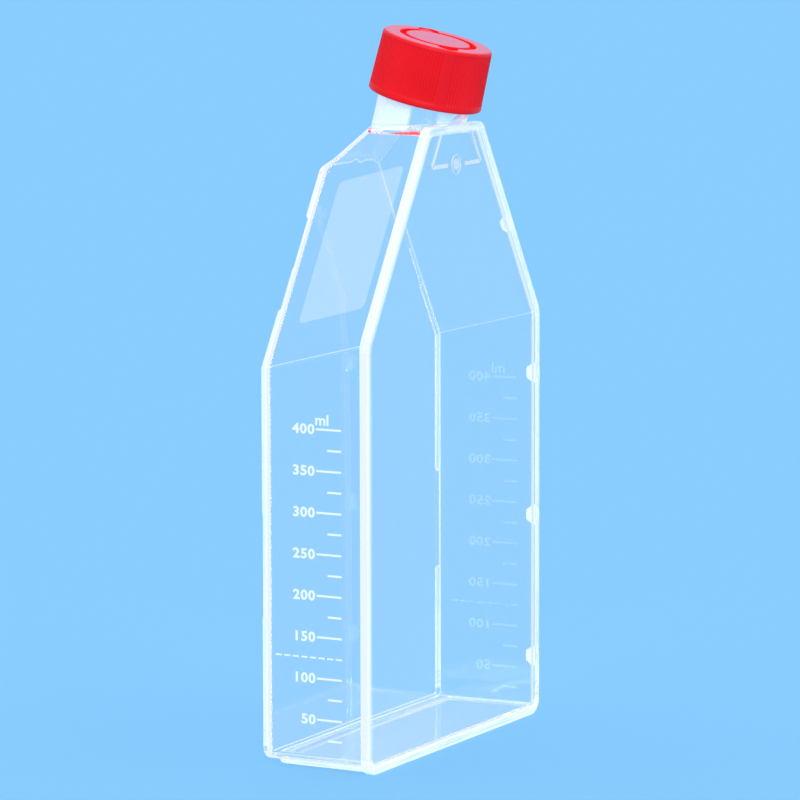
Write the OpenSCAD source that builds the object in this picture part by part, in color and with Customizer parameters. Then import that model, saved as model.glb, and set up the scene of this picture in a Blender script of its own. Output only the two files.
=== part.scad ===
// Vented cell culture flask, standing on its end.
// X runs across the width, Y through the thickness (growth wall at +Y), Z up along the height.
// The origin is on the standing plane, under the middle of the whole flask with its cap.

/* [Body] */
// Width across the top plate
rim_w = 116; // [90:1:140]
// Height from the standing plane to the top plate's upper edge
body_h = 192; // [160:1:230]
// Thickness over the stacking rim and the foot rim
body_d = 38.1; // [30:0.1:50]
// Height over which the top plate narrows, up to its upper edge
taper_h = 62; // [50:1:75]
// How far the top plate's upper edge reaches past the neck on each side
top_over = 3.75; // [2.6:0.05:6]
// Height of the growth wall's corner where its sides start to narrow, below the top plate's one
kink_drop = 9; // [0:0.1:12]

/* [Tray] */
// Thickness of the growth wall, the narrow walls and the shoulder
wall = 1.9; // [1:0.1:2.6]
// Thickness of the base
base_t = 1.7; // [1:0.1:3]
// Mould draft of the narrow walls, in degrees
draft = 1.6; // [0:0.1:2.5]
// Rounding of the long edges of the growth wall
edge_r = 1.2; // [0.5:0.1:2]
// Rounding of the corners between the base and the narrow walls
base_corner_r = 4; // [2:0.5:6]
// Height of the shoulder plane below the top plate's upper edge
shoulder_drop = 1.3; // [1:0.1:5]
// How far the neck overhangs the crease between shoulder and ramp
ramp_over = 0.1; // [0:0.1:2]
// Lean of the ramp from upright, in degrees
ramp_angle = 40.4; // [32:0.1:46]
// Half width of the ramp along its lower edge
ramp_half_w = 13.9; // [10:0.1:18]

// Height of the rim under the base
base_rim_h = 0.7; // [0.3:0.1:1.5]
// Width of the rim under the base
base_rim_w = 2.5; // [1.5:0.1:4]
// How far the rim under the base stays in from the growth wall
base_rim_in = 3.3; // [2.5:0.1:6]
/* [Foot rim] */
// Height of the foot rim over the growth wall
foot_h = 0.9; // [0.4:0.1:2]
// Width of the foot rim
foot_w = 2.5; // [1.5:0.1:4]
// Lower end of the break in the foot rim
break_low = 45.7; // [20:0.1:60]
// Length of the break in the foot rim
break_len = 30.4; // [10:0.1:40]
// Depth of the break on the -X side, where the rim only dips
break_dip = 0.2; // [0.1:0.1:0.4]
// Height of the rim's low step above the sides' corner
step_h = 0.25; // [0.1:0.05:0.4]

/* [Top plate] */
// Thickness of the top plate
plate_t = 2.65; // [1.6:0.05:3.5]
// How far the top plate stands out past the tray's walls
flange_over = 1.6; // [1:0.1:2.5]
// Height of the stacking rim over the top plate
rim_raise = 0.35; // [0.3:0.05:1.5]
// Width of the stacking rim
rim_face = 2.65; // [2:0.05:4]
// Rounding of the top plate's four outer corners
plate_corner_r = 5; // [2:0.5:8]
// Rounding where the top plate's sides start to narrow
plate_kink_r = 8; // [2:1:20]

/* [Tabs and pads] */
// Length of a locating tab along the flange
tab_len = 6.5; // [4:0.5:9]
// Length of a locating tab at its tip
tab_tip = 3; // [2:0.5:3.5]
// Depth of a locating tab below the flange
tab_depth = 2.4; // [1:0.1:4]
// Height of the lowest tab's middle
tab_low = 18.5; // [12:0.5:25]
// Distance of the highest of three tabs on the straight side below the top plate's bend
tab_high = 20.3; // [12:0.1:40]
// Distance of the fourth tab along the narrowing side
tab_taper = 34.8; // [15:0.1:45]
// Length of a standing pad
pad_len = 12; // [8:0.5:20]
// Width of a standing pad
pad_w = 2.5; // [1.5:0.1:4]
// Distance between the middles of the two standing pads
pad_span = 64; // [40:1:80]

/* [Panel mark] */
// Width of the moulded frame line on the top plate
line_w = 1.2; // [0.8:0.1:2]
// Height of the moulded frame line over the top plate
line_h = 0.3; // [0.2:0.1:0.6]
// Diameter of the gate mark
gate_d = 3.5; // [2:0.1:4.5]
// Diameter of the ring round the gate mark
gate_ring_d = 6.3; // [5.5:0.1:9]

/* [Neck] */
// Outer radius of the neck
neck_r = 14.1; // [10:0.1:16]
// Wall of the neck
neck_wall = 2.1; // [1.2:0.1:2.5]
// Lean of the neck towards the top plate, in degrees
neck_tilt = 14.4; // [5:0.1:20]
// How far the neck would stand past the stacking rim without its relief
neck_proud = 1.6; // [0:0.1:2.5]
// Lean of the relief face in front of the neck, in degrees
relief_angle = 32; // [25:1:45]
// Distance along the neck from the top plate's upper edge to the cap
cap_gap = 7.55; // [6.5:0.05:12]

/* [Cap] */
// Height of the cap
cap_h = 19; // [15:0.1:25]
// Wall of the cap at its lower edge, over its bore
cap_wall = 3.4; // [2.5:0.1:5]
// Inward draft of the cap's side over its height
cap_draft = 0.6; // [0.2:0.1:1]
// Thickness of the cap's top
cap_top_t = 2.4; // [1.8:0.1:4]
// Height of the plain band at the cap's lower edge
low_band = 2; // [1:0.1:4]
// Height of the plain band at the cap's upper edge
high_band = 0.8; // [0.5:0.1:2]
// Number of grip ribs round the cap
rib_count = 104; // [60:4:140]
// Depth of the valleys between the grip ribs
rib_depth = 0.3; // [0.1:0.05:0.6]
// How far the plain bands stand out past the ribs' crests
band_proud = 0.05; // [0.02:0.01:0.2]
// Ribs left out under each notch
plain_ribs = 3; // [1:1:8]
// Width of the groove round the disc in the middle of the cap's top
groove_w = 1.9; // [1:0.1:2.5]
// Depth of the groove
groove_d = 1.7; // [1:0.1:1.7]
// Width of each notch
notch_w = 6.6; // [4:0.1:8]
// Width left between a notch's end and the rounding of the cap's upper edge
notch_margin = 0.2; // [0.1:0.05:1]
// Turn of the first notch from +X, in degrees
notch_turn = 222; // [0:1:360]
// Width of the vent slots
slot_w = 0.8; // [0.5:0.1:1]
// How far the vent membrane reaches past the vent slots
slot_cover = 0.3; // [0.2:0.1:1]
// Number of vent slots
slot_count = 8; // [4:1:12]
// Width of the bars between the vent slots
slot_bar = 2; // [1:0.1:3]
// Radial clearance between the cap's bore and the neck
cap_clear = 0.1; // [0.05:0.01:0.1]
// Gap between the neck's mouth and the cap's top, closed by the thread's last turn
mouth_gap = 0.1; // [0.05:0.05:0.3]
// Wall of the sealing lip inside the mouth
lip_wall = 0.7; // [0.5:0.1:1]
// Length of the sealing lip
lip_len = 2.5; // [1.5:0.1:4]
// Thickness of the vent membrane
membrane_t = 0.25; // [0.2:0.05:0.4]

/* [Hidden] */
$fn = 96;
clear_plastic = [0.76, 0.9, 0.98];
red_plastic = [0.86, 0.07, 0.12];
white_film = [0.95, 0.95, 0.93];
reach = 2 * body_h;
over = 1;

// Faces through the thickness, from the stacking rim's front to the foot rim's back
y_rim = -body_d / 2;
y_plate = y_rim + rim_raise;
y_seat = y_plate + plate_t;
y_foot = body_d / 2;
y_growth = y_foot - foot_h;

// The narrowing sides run from the straight height to the edge above the neck
straight_h = body_h - taper_h;
top_half = neck_r + top_over;
taper_k = (rim_w / 2 - top_half) / taper_h;
taper_angle = atan(taper_k);
tray_half = rim_w / 2 - flange_over;
growth_half = tray_half - (y_growth - y_seat) * tan(draft);
growth_kink = straight_h - kink_drop;
tab_pitch = (straight_h - tab_high - tab_low) / 2;

// The neck's axis crosses the top plate's upper edge height at neck_y
neck_y = y_rim - neck_proud + neck_r / cos(neck_tilt);
neck_axis = [0, -sin(neck_tilt), cos(neck_tilt)];
neck_bore = neck_r - neck_wall;
neck_root = 8.8;
bore_root = 14;
mouth = cap_gap + cap_h - cap_top_t - mouth_gap;
scallop_min = 1.2;

// The shoulder ends under the neck's back, and the ramp runs from there to the growth wall
shoulder_z = body_h - shoulder_drop;
crease_y = neck_y + neck_r / cos(neck_tilt) + shoulder_drop * tan(neck_tilt) - ramp_over;
ramp_z = shoulder_z - (y_growth - crease_y) / tan(ramp_angle);

// The foot rim's low step, flush stretch and raised end along the narrowing sides
foot_run = ramp_z - growth_kink;
step_low = growth_kink + 0.286 * foot_run;
step_top = growth_kink + 0.4835 * foot_run;
high_foot_low = growth_kink + 0.7296 * foot_run;
high_foot_top = ramp_z - 1.5;

// The rim under the base meets the rounded corners, and its root stays inside the base
base_rim_gap = 1.2;
base_rim_root = 1.3;

// The cap's radii follow the neck
cap_bore = neck_r + cap_clear;
cap_r = cap_bore + cap_wall;
cap_top_r = cap_r - cap_draft;
top_under = cap_h - cap_top_t;
lip_r = neck_bore - cap_clear;
membrane_r = lip_r - lip_wall - cap_clear;
disc_r = membrane_r - slot_cover - slot_w;
rib_h = cap_h - low_band - high_band;
cap_band_r = cap_r - cap_draft * low_band / cap_h;
cap_high_r = cap_r - cap_draft * (cap_h - high_band) / cap_h;
cap_low_round = 0.8;
cap_high_round = 1.3;
top_flat_r = cap_top_r - cap_high_round + high_band / 2;
notch_reach = top_flat_r - notch_margin;

// The origin is under the middle of the flask's outline
cap_front = neck_y - (cap_gap + cap_h) * sin(neck_tilt) - cap_top_r * cos(neck_tilt);
body_y = -(cap_front + y_foot) / 2;

// A plane is [unit normal, distance]; what lies behind it is kept.
function unit(v) = v / norm(v);
function plane_at(p, n) = [unit(n), unit(n) * p];
function inset(pl, d) = [pl[0], pl[1] - d];
// A plane that touches the rounding of radius r between planes a and b, w of the way from a to b
function round_plane(a, b, r, w) =
    let (m = (1 - w) * a[0] + w * b[0], u = (1 - w) / norm(m), v = w / norm(m))
    [unit(m), u * (a[1] - r) + v * (b[1] - r) + r];
function rounding(a, b, r) = [for (w = [0.2, 0.5, 0.8]) round_plane(a, b, r, w)];

function side_pl(s) = plane_at([s * tray_half, y_seat, 0], [s * cos(draft), sin(draft), 0]);
// The narrowing side holds the line through the seat's corner and the growth wall's corner
function taper_pl(s) =
    let (low = [s * growth_half, y_growth, growth_kink],
         high = [s * (rim_w / 2 - flange_over / cos(taper_angle)), y_seat, straight_h],
         along = [-s * sin(taper_angle), 0, cos(taper_angle)])
    plane_at(low, s * cross(high - low, along) * -1);
function hip_pl(s) = plane_at([s * ramp_half_w, y_growth, ramp_z], [s * 0.281, 0.6, 0.749]);
growth_pl = [[0, 1, 0], y_foot];
base_pl = [[0, 0, -1], -flange_over];
shoulder_pl = [[0, 0, 1], shoulder_z];
ramp_pl = plane_at([0, y_growth, ramp_z], [0, cos(ramp_angle), sin(ramp_angle)]);

// Flat faces of the tray, with the back face at its own distance
function tray_faces(back) = concat(
    [[[0, 1, 0], back], base_pl, shoulder_pl, ramp_pl],
    [for (s = [-1, 1]) side_pl(s)],
    [for (s = [-1, 1]) taper_pl(s)],
    [for (s = [-1, 1]) hip_pl(s)]);
function tray_roundings() = concat(
    rounding(base_pl, growth_pl, edge_r),
    [for (s = [-1, 1]) each rounding(side_pl(s), growth_pl, edge_r)],
    [for (s = [-1, 1]) each rounding(side_pl(s), base_pl, base_corner_r)],
    [for (s = [-1, 1]) each rounding(side_pl(s), taper_pl(s), base_corner_r)],
    [for (s = [-1, 1]) each rounding(taper_pl(s), growth_pl, edge_r)],
    [for (s = [-1, 1]) each rounding(taper_pl(s), hip_pl(s), edge_r)],
    [for (s = [-1, 1]) each rounding(hip_pl(s), ramp_pl, edge_r)]);

// Everything behind one plane
module behind(pl) {
    n = pl[0];
    translate(n * pl[1])
        rotate([0, acos(n.z), atan2(n.y, n.x)])
            translate([-reach, -reach, -2 * reach])
                cube(2 * reach);
}

// The convex solid behind every plane of a list, in front of the height y_from
module convex_solid(planes, y_from) {
    intersection() {
        translate([-reach, y_from, -reach])
            cube(2 * reach);
        intersection_for (pl = planes)
            behind(pl);
    }
}

// A corner at p, rounded with radius r as an arc of points between its neighbours a and b
function arc_corner(a, p, b, r, steps = 6) =
    let (ua = unit(a - p), ub = unit(b - p), half = acos(ua * ub) / 2,
         c = p + unit(ua + ub) * r / sin(half),
         fa = p + ua * r / tan(half) - c, fb = p + ub * r / tan(half) - c,
         sweep = 180 - 2 * half)
    [for (i = [0 : steps])
        let (t = i / steps)
        c + (sin((1 - t) * sweep) * fa + sin(t * sweep) * fb) / sin(sweep)];
function rounded(points, radii) =
    let (n = len(points))
    [for (i = [0 : n - 1])
        each arc_corner(points[(i + n - 1) % n], points[i], points[(i + 1) % n], radii[i])];

// The top plate's outline, drawn in by a distance d all round
function plate_points(d) =
    let (slant = d / cos(taper_angle),
         w = rim_w / 2 - d,
         kink = straight_h + (d - slant) / taper_k,
         top_w = top_half + taper_k * d - slant)
    [[-w, d], [w, d], [w, kink], [top_w, body_h - d], [-top_w, body_h - d], [-w, kink]];
module plate_outline(d) {
    corner = max(plate_corner_r - d, 0.5);
    polygon(rounded(plate_points(d), [corner, corner, plate_kink_r, corner, corner, plate_kink_r]));
}

// A flat shape drawn in X and Z, standing at y_back and reaching t towards -Y
module upright(y_back, t) {
    translate([0, y_back, 0])
        rotate([90, 0, 0])
            linear_extrude(t)
                children();
}

// Places the flask over the origin
module on_stand() {
    translate([0, body_y, 0])
        children();
}

// Places a shape on the neck's axis, at a distance along it from the plate's upper edge
module on_neck(along) {
    translate([0, neck_y, body_h] + neck_axis * along)
        rotate([neck_tilt, 0, 0])
            children();
}

// A break in the foot rim between two heights, with ends at 45 degrees, on side s
module foot_break(s, low, high, depth) {
    translate([s > 0 ? over : -reach, 0, 0])
        rotate([90, 0, 90])
            linear_extrude(reach - over)
                polygon([[y_foot - depth, low], [y_foot - depth, high],
                         [y_foot + over, high + depth + over], [y_foot + over, low - depth - over]]);
}

// The shallow field inside the foot rim, open towards the ramp
module growth_field() {
    inner = concat([inset(base_pl, foot_w)],
        [for (s = [-1, 1]) inset(side_pl(s), foot_w)],
        [for (s = [-1, 1]) inset(taper_pl(s), foot_w)]);
    convex_solid(inner, y_growth);
    translate([-reach, y_growth, high_foot_top])
        cube(reach * 2);
}

module foot_breaks() {
    foot_break(1, break_low, break_low + break_len, foot_h);
    foot_break(-1, break_low, break_low + break_len, break_dip);
    for (s = [-1, 1]) {
        foot_break(s, step_low, step_top, foot_h - step_h);
        foot_break(s, step_top, high_foot_low, foot_h);
    }
}

module neck_tube() {
    intersection() {
        on_neck(-neck_root)
            cylinder(r = neck_r, h = neck_root + mouth);
        behind(plane_at([0, y_rim, body_h], [0, -cos(relief_angle), -sin(relief_angle)]));
    }
}

module neck_hole() {
    on_neck(-bore_root)
        cylinder(r = neck_bore, h = bore_root + mouth + over);
}

// The rim under the base, its outer faces set in from the narrow walls, its back end at 45 degrees
module base_rim() {
    edges = [plane_at([0, y_growth - base_rim_in, flange_over], [0, 1, -1]),
             inset(side_pl(-1), base_rim_gap), inset(side_pl(1), base_rim_gap),
             [[0, 0, -1], base_rim_h - flange_over], [[0, 0, 1], flange_over + base_rim_root]];
    difference() {
        convex_solid(edges, y_seat);
        convex_solid([for (i = [0 : 2]) inset(edges[i], base_rim_w)], y_seat - over);
    }
}

module standing_pads() {
    for (s = [-1, 1])
        translate([s * pad_span / 2 - pad_len / 2, y_growth - base_rim_in - base_rim_h - pad_w, 0])
            cube([pad_len, pad_w, flange_over + base_t / 2]);
}

module growth_tray() {
    color(clear_plastic)
    on_stand()
    difference() {
        union() {
            difference() {
                convex_solid(concat(tray_faces(y_foot), tray_roundings()), y_seat);
                growth_field();
                foot_breaks();
            }
            difference() {
                neck_tube();
                translate([-reach, y_seat - reach, body_h - reach])
                    cube([2 * reach, reach, reach]);
            }
            base_rim();
            standing_pads();
        }
        tray_cavity();
        neck_hole();
    }
}

// The space inside the tray, open towards the top plate
module tray_cavity() {
    inner = [for (pl = tray_faces(y_growth)) inset(pl, pl == base_pl ? base_t : wall)];
    convex_solid(inner, y_seat - over);
}

// One locating tab, its root on the flange's back, its length along Z
module tab() {
    rotate([90, 0, 90])
        linear_extrude(flange_over)
            polygon([[0, -tab_len / 2], [tab_depth, -tab_tip / 2],
                     [tab_depth, tab_tip / 2], [0, tab_len / 2]]);
}

module locating_tabs() {
    for (i = [0 : 2])
        translate([tray_half, y_seat, tab_low + i * tab_pitch])
            tab();
    translate([rim_w / 2, y_seat, straight_h])
        rotate([0, -taper_angle, 0])
            translate([-flange_over, 0, tab_taper])
                tab();
}

// The moulded frame on the top plate, left bare inside, with the gate mark in its lower side
module panel_frame() {
    high_half = top_half - 8.29;
    low_half = top_half - 1.58;
    low_z = ramp_z + 0.1;
    high_z = shoulder_z - 0.5;
    opening = 5.8;
    for (s = [-1, 1]) {
        hull() {
            translate([s * low_half, low_z]) square(line_w, center = true);
            translate([s * high_half, high_z]) square(line_w, center = true);
        }
        translate([s * (low_half + opening) / 2, low_z])
            square([low_half - opening + line_w, line_w], center = true);
    }
    translate([0, low_z])
        circle(d = gate_d);
    translate([0, low_z])
        difference() {
            circle(d = gate_ring_d);
            circle(d = gate_ring_d - line_w);
        }
}

module top_plate() {
    color(clear_plastic)
    on_stand() {
        difference() {
            union() {
                upright(y_seat, plate_t)
                    plate_outline(0);
                upright(y_plate, rim_raise)
                    difference() {
                        plate_outline(0);
                        plate_outline(rim_face);
                    }
                upright(y_plate, line_h)
                    panel_frame();
                locating_tabs();
            }
            intersection() {
                neck_hole();
                translate([-reach, y_plate + scallop_min, 0])
                    cube([2 * reach, reach, body_h + over]);
            }
        }
    }
}

// The ribbed outline of the cap, with plain stretches under the notches
function rib_points() = [for (i = [0 : rib_count - 1])
    let (half = rib_count / 2, from_notch = min(i % half, half - i % half),
         crest = cap_band_r - band_proud,
         valley = from_notch <= plain_ribs / 2 ? crest : crest - rib_depth,
         pitch = 360 / rib_count)
    each [for (k = [[-0.25, crest], [0.1, crest], [0.25, valley], [0.6, valley]])
        let (a = notch_turn + (i + k[0]) * pitch) k[1] * [cos(a), sin(a)]]];

module cap_outside() {
    cylinder(r1 = cap_r - cap_low_round, r2 = cap_r, h = cap_low_round);
    translate([0, 0, cap_low_round])
        cylinder(r1 = cap_r, r2 = cap_band_r, h = low_band - cap_low_round);
    translate([0, 0, low_band])
        linear_extrude(rib_h, scale = (cap_high_r - band_proud) / (cap_band_r - band_proud))
            polygon(rib_points());
    translate([0, 0, cap_h - high_band])
        cylinder(r1 = cap_high_r, r2 = top_flat_r, h = high_band);
}

// An arch notch whose floor climbs from the groove's floor to the top
module notch() {
    arch_r = notch_w / 2;
    start = disc_r + groove_w;
    intersection() {
        translate([0, 0, cap_h - groove_d]) {
            translate([notch_reach - arch_r, 0, 0])
                cylinder(r = arch_r, h = groove_d + over);
            translate([start - over, -arch_r, 0])
                cube([notch_reach - arch_r - start + over, notch_w, groove_d + over]);
        }
        behind(plane_at([start, 0, cap_h - groove_d], [groove_d, 0, start - notch_reach]));
    }
}

module vent_slots() {
    translate([0, 0, top_under - over])
        difference() {
            cylinder(r = disc_r + slot_w, h = cap_top_t);
            translate([0, 0, -over])
                cylinder(r = disc_r, h = cap_top_t + 2 * over);
            for (i = [0 : slot_count - 1])
                rotate(notch_turn + 360 * (i + 0.5) / slot_count)
                    translate([disc_r / 2, -slot_bar / 2, -over])
                        cube([disc_r, slot_bar, cap_top_t + 2 * over]);
        }
}

module cap_shell() {
    color(red_plastic)
    on_stand()
    on_neck(cap_gap) {
        difference() {
            cap_outside();
            translate([0, 0, -over])
                cylinder(r = cap_bore, h = top_under + over);
            translate([0, 0, cap_h - groove_d])
                difference() {
                    cylinder(r = disc_r + groove_w, h = groove_d + over);
                    translate([0, 0, -over])
                        cylinder(r = disc_r, h = groove_d + 3 * over);
                }
            for (turn = [0, 180])
                rotate(notch_turn + turn)
                    notch();
            vent_slots();
        }
        translate([0, 0, top_under - lip_len])
            difference() {
                cylinder(r = lip_r, h = lip_len + over / 2);
                translate([0, 0, -over])
                    cylinder(r = lip_r - lip_wall, h = lip_len + 3 * over);
            }
    }
}

module vent_membrane() {
    color(white_film)
    on_stand()
    on_neck(cap_gap + top_under - membrane_t)
        cylinder(r = membrane_r, h = membrane_t);
}

growth_tray();
top_plate();
cap_shell();
vent_membrane();
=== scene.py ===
"""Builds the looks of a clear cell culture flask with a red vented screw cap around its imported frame.

Everything is in metres, Z up, with X across the flask's width and Y through its thickness. The growth
wall is at +Y, and the neck leans towards the top plate at -Y.
"""

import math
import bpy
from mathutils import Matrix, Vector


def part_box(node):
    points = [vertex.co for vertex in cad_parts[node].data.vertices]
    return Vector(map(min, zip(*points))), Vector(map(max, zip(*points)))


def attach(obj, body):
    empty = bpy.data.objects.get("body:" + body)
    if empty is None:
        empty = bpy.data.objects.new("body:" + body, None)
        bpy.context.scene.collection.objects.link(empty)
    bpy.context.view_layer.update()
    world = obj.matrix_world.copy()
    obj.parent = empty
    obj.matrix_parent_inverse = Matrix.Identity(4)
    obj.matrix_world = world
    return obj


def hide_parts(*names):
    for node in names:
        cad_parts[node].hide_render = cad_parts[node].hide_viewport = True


bl_info = {
    "name": "Cell culture flask",
    "version": (1, 0, 0),
    "blender": (4, 5, 0),
    "location": "View3D > Sidebar > Flask",
    "description": "Builds a clear cell culture flask, its print and its vented screw cap",
    "category": "Object",
}

import bpy
import numpy as np
from bpy.props import FloatProperty, FloatVectorProperty, IntProperty, PointerProperty
from mathutils import Quaternion, Vector

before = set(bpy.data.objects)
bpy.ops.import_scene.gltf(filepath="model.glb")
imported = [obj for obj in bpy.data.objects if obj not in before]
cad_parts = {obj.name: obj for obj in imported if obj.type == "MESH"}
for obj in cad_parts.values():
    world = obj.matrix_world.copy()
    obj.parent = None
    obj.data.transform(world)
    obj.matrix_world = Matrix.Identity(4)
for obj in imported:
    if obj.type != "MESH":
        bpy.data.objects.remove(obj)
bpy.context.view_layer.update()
PLATE_LOW, PLATE_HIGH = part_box("top_plate")
TRAY_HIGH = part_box("growth_tray")[1]
MID_Y = (PLATE_LOW.y + TRAY_HIGH.y) / 2
MM = 0.001
HAIR = 0.00004  # a printed layer's thickness, and what keeps two faces out of one plane
TURN = 2 * math.pi


def length(name, default_mm, description):
    """A length property whose default is given in millimetres."""
    return FloatProperty(name=name, description=description, default=default_mm * MM, unit="LENGTH",
                         precision=5)


def tilt(name, default_deg, description):
    """An angle property whose default is given in degrees."""
    return FloatProperty(name=name, description=description, default=math.radians(default_deg),
                         unit="ROTATION", subtype="ANGLE", precision=4)


def colour(name, default, description):
    """A linear colour property."""
    return FloatVectorProperty(name=name, description=description, default=default, size=3,
                               subtype="COLOR", min=0, max=1)


# ---------------------------------------------------------------- sizes


class FlaskSizes(bpy.types.PropertyGroup):
    rim_w: length("Width", (PLATE_HIGH.x - PLATE_LOW.x) / MM, "Width across the top plate")
    body_h: length("Height", PLATE_HIGH.z / MM, "Height to the top plate's upper edge")
    body_d: length("Thickness", (TRAY_HIGH.y - PLATE_LOW.y) / MM, "Stacking rim to foot rim")
    straight_h: length("Straight height", 130, "Height at which the top plate starts to narrow")
    kink_drop: length("Corner drop", 9, "How much lower the growth wall starts to narrow")
    taper: tilt("Taper", 32.93, "Lean of the narrowing sides from upright")
    draft: tilt("Draft", 1.6, "Mould draft of the narrow walls")
    wall: length("Wall", 1.9, "Thickness of the walls")
    base_t: length("Base", 1.7, "Thickness of the base")
    edge_r: length("Edge rounding", 1.2, "Rounding of the long edges")
    corner_r: length("Corner rounding", 4, "Rounding between base and narrow walls")
    inner_r: length("Inner rounding", 0.9, "Rounding between floor and narrow walls, inside")
    crease_r: length("Crease rounding", 0.5, "Rounding of the creases where the walls turn")
    shoulder_drop: length("Shoulder drop", 1.3, "Shoulder plane below the top plate's upper edge")
    ramp_drop: length("Ramp drop", 12.4, "Ramp's lower edge below the top plate's upper edge")
    ramp: tilt("Ramp", 40.4, "Lean of the ramp from upright")
    ramp_half_w: length("Ramp half width", 13.9, "Half width of the ramp's lower edge")
    base_rim_h: length("Base rim height", 0.7, "Height of the rim under the base")
    base_rim_w: length("Base rim width", 2.5, "Width of the rim under the base")
    base_rim_in: length("Base rim inset", 3.3, "How far that rim stays in from the growth wall")
    foot_h: length("Foot height", 0.9, "Height of the foot rim over the growth wall")
    foot_w: length("Foot width", 2.5, "Width of the foot rim")
    break_low: length("Break", 45.7, "Lower end of the break in the foot rim")
    break_len: length("Break length", 30.4, "Length of the break in the foot rim")
    break_dip: length("Break dip", 0.2, "Depth of the break on the -X side")
    step_h: length("Step", 0.25, "Height of the rim's low step above the sides' corner")
    plate_t: length("Plate", 2.65, "Thickness of the top plate")
    flange_over: length("Flange", 1.6, "How far the plate stands out past the walls")
    rim_raise: length("Rim height", 0.35, "Height of the stacking rim")
    rim_face: length("Rim width", 2.65, "Width of the stacking rim")
    plate_corner_r: length("Plate corner", 5, "Rounding of the plate's outer corners")
    plate_kink_r: length("Plate bend", 8, "Rounding where the plate starts to narrow")
    neck_r: length("Neck", 14.1, "Outer radius of the neck")
    neck_wall: length("Neck wall", 2.1, "Wall of the neck")
    neck_lean: tilt("Neck lean", 14.4, "Lean of the neck towards the top plate")
    neck_proud: length("Neck overhang", 1.6, "How far the neck passes the rim before its relief")
    relief: tilt("Relief", 32, "Lean of the relief face in front of the neck")
    mouth: length("Mouth", 24.05, "Distance along the neck from the plate's upper edge to the mouth")
    tab_low_z: length("Lowest tab", 18.5, "Height of the lowest locating tab")
    tab_step: length("Tab spacing", 45.6, "Distance between the tabs on the upright side")
    tab_rise: length("Sloping tab", 34.8, "Distance of the sloping tab above the side's bend")
    thread_low: length("Thread start", 11.5, "Distance along the neck to the thread's lower end")
    thread_pitch: length("Thread pitch", 3.2, "Rise of the thread in one turn")


class CapSizes(bpy.types.PropertyGroup):
    gap: length("Seat", 7.55, "Distance along the neck from the plate's upper edge to the cap")
    height: length("Height", 19, "Height of the cap")
    radius: length("Radius", 17.6, "Radius at the lower edge")
    draft: length("Draft", 0.6, "How much narrower the cap is at its top")
    bore: length("Bore", 14.2, "Radius of the bore")
    top_t: length("Top", 2.4, "Thickness of the top")
    low_band: length("Lower band", 2, "Height of the plain lower band")
    high_band: length("Upper band", 0.8, "Height of the plain upper band")
    high_round: length("Upper rounding", 1.3, "Rounding of the upper edge")
    ribs: IntProperty(name="Ribs", description="Grip ribs round the cap", default=104, min=40, max=160)
    rib_depth: length("Rib depth", 0.3, "Depth of the valleys between the ribs")
    disc_r: length("Disc", 10, "Radius of the disc in the top")
    groove_w: length("Groove width", 1.9, "Width of the groove round the disc")
    groove_d: length("Groove depth", 1.7, "Depth of the groove")
    notch_w: length("Notch width", 6.6, "Width of each notch")
    notch_reach: length("Notch reach", 15.9, "Reach of each notch from the cap's axis")
    notch_turn: tilt("Notch turn", 222, "Turn of the first notch from +X")
    lip_wall: length("Lip", 0.7, "Wall of the sealing lip")
    lip_len: length("Lip length", 2.5, "Length of the sealing lip")
    slots: IntProperty(name="Slots", description="Vent slots", default=8, min=4, max=12)
    slot_w: length("Slot width", 0.8, "Width of the vent slots")


class PrintSizes(bpy.types.PropertyGroup):
    first_z: length("Lowest mark", 15.7, "Height of the 50 ml mark")
    step_z: length("Spacing", 12.58, "Distance between numbered marks")
    tick_start: length("Mark start", -0.41, "Where a long mark starts, from mid thickness")
    tick_end: length("Mark end", -9.0, "Where every mark ends")
    short_start: length("Short start", -4.2, "Where a short mark starts")
    line_w: length("Line", 0.62, "Width of the printed lines")
    digit_h: length("Digit height", 2.9, "Height of the digits")
    digit_w: length("Digit width", 2.42, "Width of a zero")
    digit_step: length("Digit spacing", 2.64, "Distance from digit to digit")
    far_first_z: length("Lowest mark, +X", 14.4, "Height of the 50 ml mark on the +X wall")
    far_step_z: length("Spacing, +X", 13.34, "Distance between numbered marks on the +X wall")
    far_shift: length("Shift, +X", -1.34, "Shift of the +X wall's scale towards the top plate")
    fill_z: length("Fill line", 34.5, "Height of the dashed line")
    field_front: length("Field, front", -12.9, "The writing field's edge by the top plate")
    field_back: length("Field, back", 9.6, "The writing field's edge by the growth wall")
    field_low: length("Field, low", 136.6, "Height of the writing field's lower edge")
    field_high: length("Field, high", 177.4, "Height of the writing field's upper edge")
    field_r: length("Field corners", 1.6, "Rounding of the writing field's corners")


class Looks(bpy.types.PropertyGroup):
    backdrop: colour("Backdrop", (0.254, 0.610, 1.0), "Pale blue of the floor and the backdrop")
    clear: colour("Clear plastic", (0.985, 0.995, 1.0), "Tint of the clear plastic")
    # Painted light: this white is painted, faintly glowing, on the clear plastic's edges, neck and tabs.
    edge: colour("Edges", (0.93, 0.97, 1.0), "Milky white of the plastic's lit edges")
    cap: colour("Cap", (0.86, 0.006, 0.012), "Red of the cap")
    ink: colour("Ink", (0.95, 0.97, 1.0), "White of the print")
    ink_back: colour("Back of the print", (0.34, 0.62, 0.9), "The print's back, in the wall's shade")
    film: colour("Film", (0.85, 0.85, 0.83), "White of the filter film")
    etch: colour("Etched plastic", (0.95, 0.98, 1.0), "Matt white of etched and grained plastic")
    lit: colour("Lit plastic", (0.84, 0.94, 1.0), "Light that the plastic has mirrored twice or more")
    mirrored: colour("Mirrored studio", (0.41, 0.66, 1.0), "Light that the plastic has mirrored once")


# ---------------------------------------------------------------- surfaces


def rotation_x(angle):
    """Turns points about X by the angle, as a 3 x 3 array."""
    c, s = math.cos(angle), math.sin(angle)
    return np.array([[1, 0, 0], [0, c, -s], [0, s, c]])


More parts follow.
